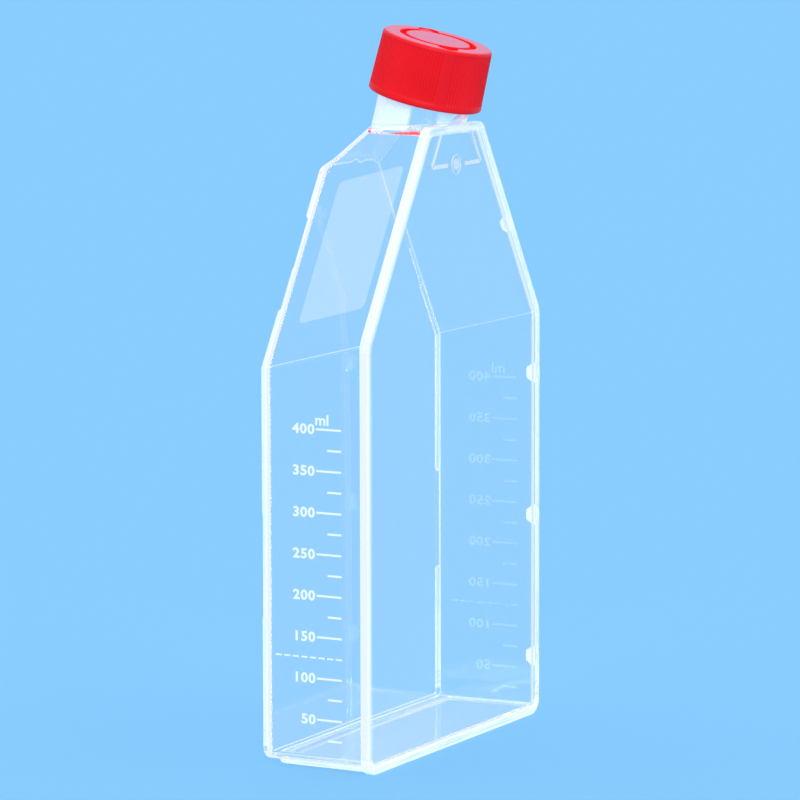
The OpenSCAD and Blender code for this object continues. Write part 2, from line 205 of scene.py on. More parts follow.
def add_object(name, data):
    """Puts an object with this data into the scene, at the origin."""
    obj = bpy.data.objects.new(name, data)
    bpy.context.scene.collection.objects.link(obj)
    return obj


def signed_volume(verts, faces):
    """Sum over the faces' fans of the tetrahedra to the origin."""
    total = 0.0
    for size in {len(f) for f in faces}:
        fan = np.array([f for f in faces if len(f) == size])
        for k in range(1, size - 1):
            a, b, c = (verts[fan[:, i]] for i in (0, k, k + 1))
            total += np.einsum("ij,ij->", a, np.cross(b, c)) / 6
    return total


def build_mesh(name, verts, faces, **face_values):
    """Makes an object from a (points, 3) array and its faces, turned to point outwards.

    face_values gives each named attribute one number for each face.
    """
    if signed_volume(verts, faces) < 0:
        faces = [f[::-1] for f in faces]
    mesh = bpy.data.meshes.new(name)
    mesh.from_pydata(verts.tolist(), [], faces)
    for key, values in face_values.items():
        mesh.attributes.new(key, "FLOAT", "FACE").data.foreach_set("value", values)
    return add_object(name, mesh)


def grid_faces(rows, cols):
    """Quads of a rows x cols grid of points, joined round the columns."""
    i, j = np.meshgrid(np.arange(rows - 1) * cols, np.arange(cols), indexing="ij")
    after = (j + 1) % cols
    quads = np.stack([i + j, i + after, i + cols + after, i + cols + j], axis=-1)
    return quads.reshape(-1, 4).tolist()


def skin(name, rings, glow=0.0, ends=0.0):
    """A closed solid: rings of equal point counts joined in order, its two ends filled.

    Its third argument is how much painted light each quad between the rings gets, as one number or a rows
    x columns array.
    """
    rings = np.asarray(rings, float)
    rows, cols = rings.shape[:2]
    verts = rings.reshape(-1, 3)
    faces = grid_faces(rows, cols)
    faces.append(list(range(cols))[::-1])
    faces.append(list(range((rows - 1) * cols, rows * cols)))
    quads = np.broadcast_to(np.asarray(glow, float), (rows - 1, cols)).reshape(-1)
    return build_mesh(name, verts, faces, glow=np.append(quads, [ends, ends]))


def bend(x, y, radius, start, stop, count):
    """Points of an arc about (x, y), between two angles in degrees from the x direction."""
    turn = np.radians(np.linspace(start, stop, count))
    return list(zip(x + radius * np.cos(turn), y + radius * np.sin(turn)))


def round_rings(radius, height, turn):
    """Rings about the Z axis, a row for each height; the radius is the row's or each point's own."""
    radius, height, turn = np.broadcast_arrays(radius, height, turn)
    return np.stack([radius * np.cos(turn), radius * np.sin(turn), height], -1)


def prism(outline, low, high):
    """The rings of a prism: a flat outline at two heights, each one number or each point's own."""
    return np.array([np.column_stack([outline, np.full(len(outline), z)]) for z in (low, high)])


def rectangle(left, right, low, high):
    """The corners of a rectangle, once round."""
    return np.array([[left, low], [right, low], [right, high], [left, high]])


def combine(obj, other, operation):
    """Joins, cuts or keeps the overlap of two closed solids, and deletes the second."""
    modifier = obj.modifiers.new("combine", "BOOLEAN")
    modifier.operation = operation
    modifier.solver = "EXACT"
    modifier.object = other
    graph = bpy.context.evaluated_depsgraph_get()
    mesh = bpy.data.meshes.new_from_object(obj.evaluated_get(graph))
    obj.modifiers.clear()
    obj.data = mesh
    bpy.data.objects.remove(other)


def smooth(obj, angle_deg):
    """Smooth shading, with edges sharper than the angle kept as creases."""
    obj.data.shade_smooth()
    obj.data.set_sharp_from_angle(angle=math.radians(angle_deg))


def finish_piece(obj, material, body, replaces=()):
    """Gives a piece its material, its body and the nodes it stands for."""
    obj.data.materials.clear()
    obj.data.materials.append(material)
    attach(obj, body)
    if replaces:
        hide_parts(*replaces)


# ---------------------------------------------------------------- rounded outlines


class Plane:
    """A wall's plane: a unit normal and its distance; the solid lies behind it."""

    def __init__(self, point, normal):
        self.normal = np.array(normal, float) / np.linalg.norm(normal)
        self.distance = float(self.normal @ np.array(point, float))

    def line(self, y, inset=0.0):
        """Where the plane meets a level of Y: the normal's angle in X and Z, and its distance."""
        across = math.hypot(self.normal[0], self.normal[2])
        return (math.atan2(self.normal[2], self.normal[0]),
                (self.distance - inset - self.normal[1] * y) / across)


def meet(line_a, line_b, inward):
    """The point that lies a distance inward from both lines."""
    (ta, da), (tb, db) = line_a, line_b
    det = math.sin(tb - ta)
    return np.array([(da - inward) * math.sin(tb) - (db - inward) * math.sin(ta),
                     (db - inward) * math.cos(ta) - (da - inward) * math.cos(tb)]) / det


def arc(line_a, line_b, radius, inset, steps):
    """A rounded corner between two lines: its centre plus the radius times the turning normal."""
    (ta, da), (tb, db) = line_a, line_b
    r = max(radius - inset, 0.1 * MM)
    centre = meet((ta, da - inset), (tb, db - inset), r)
    turn = np.linspace(ta, ta + (tb - ta) % TURN, steps + 1)
    return centre + r * np.column_stack([np.cos(turn), np.sin(turn)])


def stations(line, heights, inset):
    """Points of a slanted or upright line at given heights."""
    t, d = line
    z = np.asarray(heights, float)
    return np.column_stack([(d - inset - math.sin(t) * z) / math.cos(t), z])


def plate_levels(s):
    """Levels of Y at the stacking rim, at the plate's face and where the plate sits on the tray."""
    rim = -s.body_d / 2
    return rim, rim + s.rim_raise, rim + s.rim_raise + s.plate_t


def light_paint_by_side(runs, steps):
    """How much painted light each run of an outline's columns gets on the -X side, and on the +X side.

    A run is one number or a pair for the two sides, repeated for the run's steps.
    """
    pairs = [run if isinstance(run, tuple) else (run, run) for run in runs]
    return [np.repeat([pair[k] for pair in pairs], steps) for k in (0, 1)]


class TrayShape:
    """The tray's outline at any level of Y, from the planes of its walls."""

    HIP_NORMAL = [0.281, 0.6, 0.749]  # of the face between a narrowing side and the ramp
    FOOT_BREAKS = (0.286, 0.4835, 0.7296)  # along the narrowing sides: step, flush step, high end
    SIDE_STEPS, KINK_STEPS, HIP_STEPS, TOP_STEPS = 7, 3, 3, 2

    def __init__(self, s, wall=0.0, base_t=0.0):
        self.s, self.wall = s, wall
        self.y_seat = plate_levels(s)[2]
        self.y_growth = s.body_d / 2 - s.foot_h
        half = s.rim_w / 2 - s.flange_over
        growth_half = half - (self.y_growth - self.y_seat) * math.tan(s.draft)
        self.kink = s.straight_h - s.kink_drop
        low = np.array([growth_half, self.y_growth, self.kink])
        high = np.array([s.rim_w / 2 - s.flange_over / math.cos(s.taper), self.y_seat, s.straight_h])
        along = np.array([-math.sin(s.taper), 0, math.cos(s.taper)])
        self.ramp_z = s.body_h - s.ramp_drop
        self.base = Plane([0, 0, s.flange_over + base_t], [0, 0, -1])
        self.side = Plane([half, self.y_seat, 0], [math.cos(s.draft), math.sin(s.draft), 0])
        self.taper = Plane(low, np.cross(along, high - low))
        self.hip = Plane([s.ramp_half_w, self.y_growth, self.ramp_z], self.HIP_NORMAL)
        self.ramp = Plane([0, self.y_growth, self.ramp_z], [0, math.cos(s.ramp), math.sin(s.ramp)])
        self.shoulder = Plane([0, 0, s.body_h - s.shoulder_drop], [0, 0, 1])

    def lines(self, y, inset=0.0):
        """The right half's lines: base, side, taper, hip and top, the hip drawn in to its corner."""
        base = self.base.line(y)
        side, taper, hip = (p.line(y, self.wall) for p in (self.side, self.taper, self.hip))
        top = min(self.shoulder.line(y, self.wall), self.ramp.line(y, self.wall), key=lambda t: t[1])
        reach = max(self.s.crease_r - inset, 0.1 * MM) + inset
        corner = meet(taper, top, reach)
        touch = corner[0] * math.cos(hip[0]) + corner[1] * math.sin(hip[0]) + reach
        return base, side, taper, (hip[0], min(hip[1], touch)), top

    def foot_marks(self):
        """Heights up the narrow walls and the narrowing sides, each with the foot rim's share there."""
        s, top = self.s, self.s.break_low + self.s.break_len
        side = [(s.break_low - s.foot_h, 1), (s.break_low, 0), (top, 0), (top + s.foot_h, 1)]
        run = self.ramp_z - self.kink
        step, flush, high = (self.kink + share * run for share in self.FOOT_BREAKS)
        low_step = s.step_h / s.foot_h
        rise = s.foot_h - s.step_h
        taper = [(step - rise, 1), (step, low_step), (flush, low_step), (flush + s.step_h, 0),
                 (high, 0), (high + s.foot_h, 1)]
        return side, taper

    def outline(self, y, inset=0.0):
        """The whole outline at y, drawn in by inset: the right half, then its mirror image."""
        s = self.s
        base, side, taper, hip, top = self.lines(y, inset)
        side_marks, taper_marks = self.foot_marks() if self.wall == 0 else ([], [])
        right = np.vstack([
            arc(base, side, s.inner_r if self.wall else s.corner_r, inset, self.SIDE_STEPS),
            stations(side, [z for z, _ in side_marks], inset),
            arc(side, taper, s.crease_r, inset, self.KINK_STEPS),
            stations(taper, [z for z, _ in taper_marks], inset),
            arc(taper, hip, s.crease_r, inset, self.HIP_STEPS),
            arc(hip, top, s.crease_r, inset, self.TOP_STEPS),
        ])
        left = right[::-1] * [-1, 1]
        return np.vstack([right, left])

    def foot_profile(self):
        """The foot rim's height at each point of the outline, as a share of its full height."""
        side_marks, taper_marks = self.foot_marks()
        dip = 1 - self.s.break_dip / self.s.foot_h

        def half(lowest, high):
            return np.concatenate([
                np.ones(self.SIDE_STEPS + 1),
                [max(h, lowest) for _, h in side_marks],
                np.ones(self.KINK_STEPS + 1),
                [h for _, h in taper_marks[:4]],
                [high * h for _, h in taper_marks[4:]],
                np.full(self.HIP_STEPS + 1, high),
                np.zeros(self.TOP_STEPS + 1),
            ])

        return np.concatenate([half(0, 0), half(dip, 1)[::-1]])

    def milk(self, corner, side, kink, taper, crease, hip, top, base):
        """How much painted light each column of the outline gets; at the corner at the base it fades
        upwards.
        """
        marks = [len(m) for m in self.foot_marks()] if self.wall == 0 else (0, 0)
        steps = (self.SIDE_STEPS, marks[0] + 1, self.KINK_STEPS, marks[1] + 1, self.HIP_STEPS, 1,
                 self.TOP_STEPS)
        near, far = light_paint_by_side((corner, side, kink, taper, crease, hip, crease), steps)
        upwards = np.clip(1.6 - 0.4 * np.arange(self.SIDE_STEPS), 0, 1)
        for half in (near, far):
            half[:self.SIDE_STEPS] *= upwards
        return np.concatenate([far, [top], near[::-1], [base]])

    def ring(self, y, inset=0.0, rise=0.0):
        """One ring of the tray's surface at a level of Y, raised towards +Y point by point."""
        flat = self.outline(y, inset)
        level = np.full(len(flat), y) + rise
        return np.column_stack([flat[:, 0], level + MID_Y, flat[:, 1]])


def tray_outside(s):
    """The tray's outer solid: straight walls, a quarter-round edge, the foot rim and its inner step."""
    shape = TrayShape(s)
    rise = shape.foot_profile() * s.foot_h
    crease = shape.y_growth - (s.ramp_drop - s.shoulder_drop) * math.tan(s.ramp)
    start, stop = shape.y_seat - MM, shape.y_growth - s.edge_r - 0.1 * MM
    levels = np.sort(np.append(np.linspace(start, stop, 16), crease))
    rings = [shape.ring(y) for y in levels]
    # Shares of painted light for the walls, the quarter-round edge with its brightest line, and the foot
    # rim; the first of a pair is the -X side.
    glow = [shape.milk((0.5, 0.1), 0, 0.5, 0, 0.6, 0, 0, 0)] * (len(rings) - 1)
    edge = shape.milk(0.5, (0.5, 0.6), 0.5, (0.55, 0.2), (0.5, 0.3), (0.5, 0.1), 0.05, 0.0)
    line = shape.milk(0.6, (0.5, 0.6), 0.5, (0.6, 0.7), (0.6, 0.8), (0.6, 0.7), 0.9, 0.1)
    for k, phi in enumerate(np.linspace(0, math.pi / 2, 6)):
        rings.append(shape.ring(shape.y_growth - s.edge_r * (1 - math.sin(phi)),
                                s.edge_r * (1 - math.cos(phi)), rise))
        glow.append(line if k == 4 else edge)
    raised = edge * (np.minimum(rise, np.roll(rise, -1)) > 0)
    for inset, share in ((s.foot_w - 0.3 * MM, 1.0), (s.foot_w, 0.75), (s.foot_w + 0.2 * MM, 0.0)):
        rings.append(shape.ring(shape.y_growth, inset, share * rise))
        glow.append(raised)
    return skin("growth_tray_clear", rings, np.array(glow))


def tray_inside(s):
    """The space inside the tray, open at the seat, with a small round at its far edge."""
    shape = TrayShape(s, s.wall, s.base_t)
    deep = shape.y_growth - s.wall
    small = 0.35 * MM
    levels = np.linspace(shape.y_seat - 2 * MM, deep - small, 16)
    rings = [shape.ring(y) for y in levels]
    # Shares of painted light for the inner walls and for the small round.
    glow = [shape.milk((0.6, 0.8), 0, 0.1, 0, 0.4, 0, 0, 0)] * (len(rings) - 1)
    for phi in np.linspace(0, math.pi / 2, 4)[1:]:
        rings.append(shape.ring(deep - small * (1 - math.sin(phi)), small * (1 - math.cos(phi))))
        glow.append(shape.milk(0.6, (0.15, 0.4), 0.3, (0.25, 0.3), 0.3, 0.3, 0.5, 0.8))
    return skin("tray_space", rings, np.array(glow))


def base_rim(s):
    """The low rim under the base: a U along the narrow walls and behind, its back end at 45 degrees.

    Its outline at a height z is the outer line, drawn in for the inner one, with the back at
    y = back + (z - flange).
    """
    shape = TrayShape(s)
    low, root = s.flange_over - s.base_rim_h, s.flange_over + 0.8 * MM
    soft, side_inset, outer_r, inner_r = 0.25 * MM, 1.2 * MM, 3 * MM, 1 * MM
    rings = []
    for z, inset in ((low, soft), (low + 0.3 * soft, 0.3 * soft), (low + soft, 0), (root, 0)):
        sides = []
        for draw, r in ((inset, outer_r), (s.base_rim_w - inset, inner_r)):
            shift = side_inset + draw
            back = shape.y_growth - s.base_rim_in - draw + min(z - s.flange_over, 0)
            x = (shape.side.distance - shift - shape.side.normal[1] * back) / shape.side.normal[0]
            x_seat = x + (back - shape.y_seat) * math.tan(s.draft)
            right = np.vstack([[x_seat, shape.y_seat], bend(x - r, back - r, r, 0, 90, 6)])
            sides.append(np.vstack([right, right[::-1] * [-1, 1]]))
        flat = np.vstack([sides[0], sides[1][::-1]])
        rings.append(np.column_stack([flat[:, 0], flat[:, 1] + MID_Y, np.full(len(flat), z)]))
    # Painted light: the rim's faces on the -X side get a larger share than the rest.
    near = (flat[:, 0] + np.roll(flat[:, 0], -1)) / 2 < -0.8 * shape.side.distance
    return skin("base_rim", rings, np.where(near, 0.45, 0.03)[None, :], 0.05)


# ---------------------------------------------------------------- neck


def neck_origin(s):
    """Where the neck's axis crosses the height of the top plate's upper edge."""
    y = -s.body_d / 2 - s.neck_proud + s.neck_r / math.cos(s.neck_lean)
    return np.array([0, y + MID_Y, s.body_h])


def on_neck(s, points, along=0.0):
    """Moves points drawn about the Z axis onto the neck's leaning axis."""
    return (np.asarray(points) + [0, 0, along]) @ rotation_x(s.neck_lean).T + neck_origin(s)


def ridge(s, turn, along, low, high):
    """The thread's height at a turn and a distance along the axis: a trapezoid wave on a helix.

    It is whole up to 0.14 of the pitch from its middle, gone by 0.38, and fades at both ends.
    """
    fade = 1.2 * MM
    phase = (along - low) / s.thread_pitch - turn / TURN
    wave = np.clip(1.6 - 4.2 * np.abs((phase + 0.5) % 1 - 0.5), 0, 1)
    ends = np.clip((along - low) / fade, 0, 1) * np.clip((high - along) / fade, 0, 1)
    return wave * ends


def neck_outside(s):
    """The neck: a tube's outer wall with its thread, narrowing under the cap, and a rounded mouth.

    Two broad bands of painted light lie on it, each as wide as (half width - |turn - middle|) stays above
    0.
    """
    steps = 128
    root, crest = s.neck_r - 0.9 * MM, s.neck_r - 0.08 * MM
    plain = [(s.neck_r, -8.8 * MM), (s.neck_r, s.thread_low - 2.4 * MM),
             (s.neck_r - 0.15 * MM, s.thread_low - 2.0 * MM), (root, s.thread_low - 1.2 * MM)]
    along = np.linspace(s.thread_low, s.mouth - 2 * MM, 44)
    turn = np.linspace(0, TURN, steps, endpoint=False)
    wave = ridge(s, turn[None, :], along[:, None], s.thread_low, s.mouth - 2 * MM)
    threaded = round_rings(root + (crest - root) * wave, along[:, None], turn)
    top = [(root, s.mouth - 0.6 * MM), (root - 0.2 * MM, s.mouth - 0.15 * MM), (root - 0.6 * MM, s.mouth)]
    low, high = (round_rings(*np.array(part).T[:, :, None], turn) for part in (plain, top))
    middle = np.degrees(turn + math.pi / steps)
    left, right = (np.clip((w - np.abs(middle - a)) / 5, 0, 1) for a, w in ((155, 40), (268, 43)))
    rings = np.concatenate([low, threaded, high])
    return skin("neck", on_neck(s, rings), (0.05 + 0.75 * left + 0.5 * right)[None, :])


def neck_bore(s):
    """The neck's bore, widening a little at the mouth."""
    r = s.neck_r - s.neck_wall
    profile = [(r, -14 * MM), (r, s.mouth - 0.35 * MM), (r + 0.1 * MM, s.mouth - 0.1 * MM),
               (r + 0.3 * MM, s.mouth + MM)]
    turn = np.linspace(0, TURN, 128, endpoint=False)
    return skin("bore", on_neck(s, round_rings(*np.array(profile).T[:, :, None], turn)))


def relief_cutter(s):
    """A wedge in front of the neck, behind the relief plane that starts at the stacking rim."""
    big = 60 * MM
    rings = prism(rectangle(-big, big, -big, 0), -big, big)
    # The relief face that it cuts carries a half share of painted light.
    return skin("relief", rings @ rotation_x(s.relief).T + [0, PLATE_LOW.y, s.body_h], 0.5, 0.5)


# ---------------------------------------------------------------- top plate


class PlateShape:
    """The top plate's outline, drawn in by any distance."""

    STEPS = (8, 3, 6)  # of the roundings at the base, where the sides narrow, and at the top

    def __init__(self, s):
        self.s = s
        self.side = Plane([s.rim_w / 2, 0, 0], [1, 0, 0])
        self.taper = Plane([s.rim_w / 2, 0, s.straight_h], [math.cos(s.taper), 0, math.sin(s.taper)])
        self.base = Plane([0, 0, 0], [0, 0, -1])
        self.top = Plane([0, 0, s.body_h], [0, 0, 1])

    def ring(self, y, inset=0.0):
        """The outline at a level of Y: the right half, then its mirror image."""
        s = self.s
        base, side, taper, top = (p.line(0) for p in (self.base, self.side, self.taper, self.top))
        right = np.vstack([
            arc(base, side, s.plate_corner_r, inset, self.STEPS[0]),
            arc(side, taper, s.plate_kink_r, inset, self.STEPS[1]),
            arc(taper, top, s.plate_corner_r, inset, self.STEPS[2]),
        ])
        flat = np.vstack([right, right[::-1] * [-1, 1]])
        return np.column_stack([flat[:, 0], np.full(len(flat), y + MID_Y), flat[:, 1]])

    def milk(self, low, side, kink, taper, high, top, base):
        """How much painted light each column of the outline gets."""
        steps = (self.STEPS[0], 1, self.STEPS[1], 1, self.STEPS[2])
        near, far = light_paint_by_side((low, side, kink, taper, high), steps)
        return np.concatenate([far, [top], near[::-1], [base]])


def plate_solid(s):
    """The top plate: flat inside its raised stacking rim, with small rounds on the rim's edges."""
    shape = PlateShape(s)
    y_rim, y_plate, y_seat = plate_levels(s)
    r = 0.45 * MM
    rings = [shape.ring(y_plate, s.rim_face + 0.25 * MM), shape.ring(y_plate - 0.2 * MM, s.rim_face),
             shape.ring(y_rim + 0.1 * MM, s.rim_face - 0.12 * MM),
             shape.ring(y_rim, s.rim_face - 0.35 * MM)]
    # Shares of painted light for the plate's faces, its rounded edges and its side.
    face = shape.milk(0.8, (0.3, 0.4), 0.5, 0.5, 0.7, 0.6, 0.9)
    rounded = shape.milk(0.8, (0.45, 0.4), 0.5, 0.5, 0.7, 0.6, 0.9)
    side = shape.milk(0.6, (0.05, 0.2), 0.2, (0.35, 0.3), 0.5, 0.4, 0.7)
    glow = [face] * 4
    for phi in np.linspace(0, math.pi / 2, 5):
        rings.append(shape.ring(y_rim + r * (1 - math.cos(phi)), r * (1 - math.sin(phi))))
    glow += [rounded] * 4 + [side]
    for phi in np.linspace(0, math.pi / 2, 5):
        rings.append(shape.ring(y_seat - r * (1 - math.sin(phi)), r * (1 - math.cos(phi))))
    glow += [rounded] * 4
    return skin("top_plate_clear", rings, np.array(glow))


def tab_solid(s, x, z, lean):
    """A locating tab under the flange: a trapezoid that narrows away from it."""
    root, tip, depth, sunk, edge = 6.5 * MM, 3 * MM, 2.4 * MM, 0.3 * MM, 0.3 * MM
    y_seat = plate_levels(s)[2]
    outer, inner = -0.15 * MM, 0.05 * MM - s.flange_over
    levels = [(-sunk, root), (0, root), (depth - edge, tip + 2 * edge), (depth, tip)]
    rings = np.array([[[outer, y, -wide / 2], [outer, y, wide / 2], [inner, y, wide / 2],
                       [inner, y, -wide / 2]] for y, wide in levels])
    c, k = math.cos(lean), math.sin(lean)
    turned = np.stack([rings[..., 0] * c - rings[..., 2] * k + x, rings[..., 1] + y_seat + MID_Y,
                       rings[..., 0] * k + rings[..., 2] * c + z], -1)
    # The tab gets a large share of painted light.
    return skin("tab", turned, 0.9, 0.9)


# ---------------------------------------------------------------- cap


def cap_profile(c):
    """The cap's half section, from the middle of its top, out, down and back up inside.

    Each entry is a radius, a height and how deep the rib valleys are there, from 0 to 1.
    """
    h, top_r, under = c.height, c.radius - c.draft, c.height - c.top_t
    groove_out, floor = c.disc_r + c.groove_w, c.height - c.groove_d

    def side(z):
        return c.radius - c.draft * z / h

    points = [(c.disc_r * 0.2, h), (c.disc_r - 0.55 * MM, h)]
    points += bend(c.disc_r - 0.45 * MM, h - 0.4 * MM, 0.4 * MM, 90, 0, 5)
    points += [(c.disc_r, floor + 0.15 * MM), (c.disc_r + 0.15 * MM, floor),
               (groove_out - 0.15 * MM, floor), (groove_out, floor + 0.15 * MM)]
    points += bend(groove_out + 0.3 * MM, h - 0.3 * MM, 0.3 * MM, 180, 90, 4)
    flat_r = top_r - c.high_round
    points += [(groove_out + 0.4 * MM, h), (flat_r - 0.1 * MM, h)]
    points += bend(flat_r, h - c.high_round, c.high_round, 90, 15, 7)
    ribbed = [(h - c.high_band - 0.2 * MM, 0.0), (h - c.high_band - 0.5 * MM, 0.7)]
    ribbed += [(z, 1.0) for z in np.linspace(h - c.high_band - 0.9 * MM, c.low_band + 0.6 * MM, 7)]
    ribbed += [(c.low_band + 0.25 * MM, 0.7), (c.low_band, 0.0)]
    smooth_low = [(side(c.low_band) + 0.02 * MM, c.low_band - 0.12 * MM), (side(0.8 * MM), 0.8 * MM)]
    smooth_low += bend(c.radius - 0.7 * MM, 0.7 * MM, 0.7 * MM, -15, -90, 6)
    smooth_low += [(c.bore + 0.5 * MM, 0.0), (c.bore, 0.5 * MM), (c.bore, 3 * MM)]
    smooth_low += [(c.bore, z) for z in np.linspace(4 * MM, under - 0.6 * MM, 4)]
    lip_out = c.bore - 2.2 * MM
    lip_in = lip_out - c.lip_wall
    lip_low = under - c.lip_len
    smooth_low += [(c.bore - 0.4 * MM, under), (lip_out + 0.2 * MM, under),
                   (lip_out, under - 0.4 * MM), (lip_out, lip_low + 0.3 * MM),
                   (lip_out - 0.2 * MM, lip_low), (lip_in + 0.1 * MM, lip_low),
                   (lip_in, lip_low + 0.2 * MM), (lip_in, under), (c.disc_r * 0.2, under)]
    rows = [(r, z, 0.0) for r, z in points]
    rows += [(side(z) - 0.04 * MM, z, deep) for z, deep in ribbed]
    return np.array(rows + [(r, z, 0.0) for r, z in smooth_low])


def rib_valley(c, turn):
    """How deep a turn lies in the valley between two ribs, from 0 to 1.

    It is 3.1 times the distance from the rib's middle, in rib pitches, less 0.35, and 0 within 1.6
    pitches of the middle of a notch.
    """
    place = (turn - c.notch_turn) / TURN * c.ribs
    valley = np.clip(3.1 * np.abs((place % 1) - 0.5) - 0.35, 0, 1)
    half = c.ribs / 2
    from_notch = np.abs((place + half / 2) % half - half / 2)
    return valley * (from_notch > 1.6)


def cap_solid(s, c):
    """The cap: its half section turned about the axis, with the ribs' valleys taken off the radius."""
    steps = c.ribs * 8
    turn = c.notch_turn + (np.arange(steps) + 0.5) * TURN / steps
    rows = cap_profile(c)
    radius = rows[:, 0:1] - rows[:, 2:3] * c.rib_depth * rib_valley(c, turn)[None, :]
    return skin("cap_red", on_neck(s, round_rings(radius, rows[:, 1:2], turn), c.gap))


def notch_cutter(s, c, turn):
    """An arch-ended prism whose floor climbs from the groove's floor to the cap's top."""
    half, start, reach = c.notch_w / 2, c.disc_r + c.groove_w - 0.6 * MM, c.notch_reach
    end = reach - half
    angles = np.linspace(-math.pi / 2, math.pi / 2, 17)
    x = np.concatenate([[start], end + half * np.cos(angles), [start]])
    y = np.concatenate([[-half], half * np.sin(angles), [half]])
    climb = (x - start) / (reach - start)
    floor = c.height - c.groove_d + 0.1 * MM + (c.groove_d - 0.25 * MM) * climb
    rings = prism(np.column_stack([x, y]), floor, c.height + MM)
    k, n = math.cos(turn), math.sin(turn)
    spin = np.array([[k, -n, 0], [n, k, 0], [0, 0, 1]])
    return skin("notch", on_neck(s, rings @ spin.T, c.gap))


def slot_cutter(s, c, turn, sweep):
    """A short curved slot through the groove's floor."""
    angles = np.linspace(turn - sweep / 2, turn + sweep / 2, 9)
    inner, outer = c.disc_r + 0.02 * MM, c.disc_r + c.slot_w
    directions = np.column_stack([np.cos(angles), np.sin(angles)])
    outline = np.vstack([inner * directions, outer * directions[::-1]])
    low, high = c.height - c.top_t - MM, c.height - c.groove_d + 0.4 * MM
    return skin("slot", on_neck(s, prism(outline, low, high), c.gap))


# ---------------------------------------------------------------- shader maths


class Value:
    """A node's output socket; sums, products and comparisons of it add Math nodes."""

    def __init__(self, finish, socket):
        self.finish, self.socket = finish, socket

    def _math(self, operation, *values):
        return self.finish.node("ShaderNodeMath", {"operation": operation}, dict(enumerate(values)))[0]

    def __add__(self, other):
        return self._math("ADD", self, other)

    __radd__ = __add__

    def __sub__(self, other):
        return self._math("SUBTRACT", self, other)

    def __rsub__(self, other):
        return self._math("SUBTRACT", other, self)

    def __mul__(self, other):
        return self._math("MULTIPLY", self, other)

    __rmul__ = __mul__

    def __gt__(self, other):
        return self._math("GREATER_THAN", self, other)

    def __lt__(self, other):
        return self._math("LESS_THAN", self, other)

    def either(self, other):
        return self._math("MAXIMUM", self, other)

    def clamped(self):
        return self._math("MAXIMUM", self._math("MINIMUM", self, 1.0), 0.0)


class NodeOutputs:
    """Gives a node's outputs as values, by name or by number."""

    def __init__(self, finish, node):
        self.finish, self.node = finish, node

    def __getitem__(self, key):
        return Value(self.finish, self.node.outputs[key])


class Finish:
    """A material or world tree that is written as plain expressions."""

    def __init__(self, owner):
        owner.use_nodes = True
        self.owner, self.tree = owner, owner.node_tree
        self.tree.nodes.clear()

    def node(self, kind, settings=None, inputs=None):
        """Adds a node, sets its settings first and then the values or links of its sockets."""
        made = self.tree.nodes.new(kind)
        for key, value in (settings or {}).items():
            if key == "stops":
                ramp = made.color_ramp
                while len(ramp.elements) > 1:
                    ramp.elements.remove(ramp.elements[-1])
                for k, (at, shade) in enumerate(value):
                    stop = ramp.elements[0] if k == 0 else ramp.elements.new(at)
                    stop.position, stop.color = at, (*shade, 1)
            else:
                setattr(made, key, value)
        for key, value in (inputs or {}).items():
            if isinstance(value, Value):
                self.tree.links.new(value.socket, made.inputs[key])
            else:
                made.inputs[key].default_value = value
        return NodeOutputs(self, made)

    def output(self, shader, kind="ShaderNodeOutputMaterial"):
        self.node(kind, inputs={"Surface": shader})
        return self.owner

    def place(self):
        return self.node("ShaderNodeTexCoord")["Object"]

    def split(self, vector):
        parts = self.node("ShaderNodeSeparateXYZ", inputs={0: vector})
        return parts["X"], parts["Y"], parts["Z"]

    def join(self, x, y, z):
        return self.node("ShaderNodeCombineXYZ", inputs={0: x, 1: y, 2: z})[0]

    def noise(self, scale, detail=2.0, roughness=0.5, at=None):
        return self.node("ShaderNodeTexNoise", inputs={
            "Vector": at or self.place(), "Scale": scale, "Detail": detail, "Roughness": roughness})[0]

    def bump(self, height, strength, distance):
        return self.node("ShaderNodeBump", inputs={
            "Height": height, "Strength": strength, "Distance": distance})[0]

    def mix(self, factor, a, b):
        return self.node("ShaderNodeMixShader", inputs={0: factor, 1: a, 2: b})[0]

    def clear(self):
        return self.node("ShaderNodeBsdfTransparent")[0]

    def surface(self, settings):
        return self.node("ShaderNodeBsdfPrincipled", inputs=settings)[0]

    def blend(self, factor, a, b):
        """One colour where the factor is 0 and another where it is 1."""
        return self.node("ShaderNodeMix", {"data_type": "RGBA"}, {"Factor": factor, 6: a, 7: b})[2]

    def face_value(self, name):
        return self.node("ShaderNodeAttribute", {"attribute_name": name})["Fac"]

    def path(self):
        return self.node("ShaderNodeLightPath")

    def light(self, shade, strength=1.0, kind="ShaderNodeEmission"):
        return self.node(kind, inputs={"Color": (*shade, 1), "Strength": strength})[0]


def bounced(f):
    """Whether a ray that comes out of clear plastic has been mirrored in it once, or more often."""
    path = f.path()
    seen = path["Is Glossy Ray"].either(path["Is Transmission Ray"])
    once = seen * (path["Glossy Depth"] > 0.5) * (path["Glossy Depth"] < 1.5)
    return once, seen * (path["Glossy Depth"] > 1.5)


def new_finish(name):
    return Finish(bpy.data.materials.new(name))


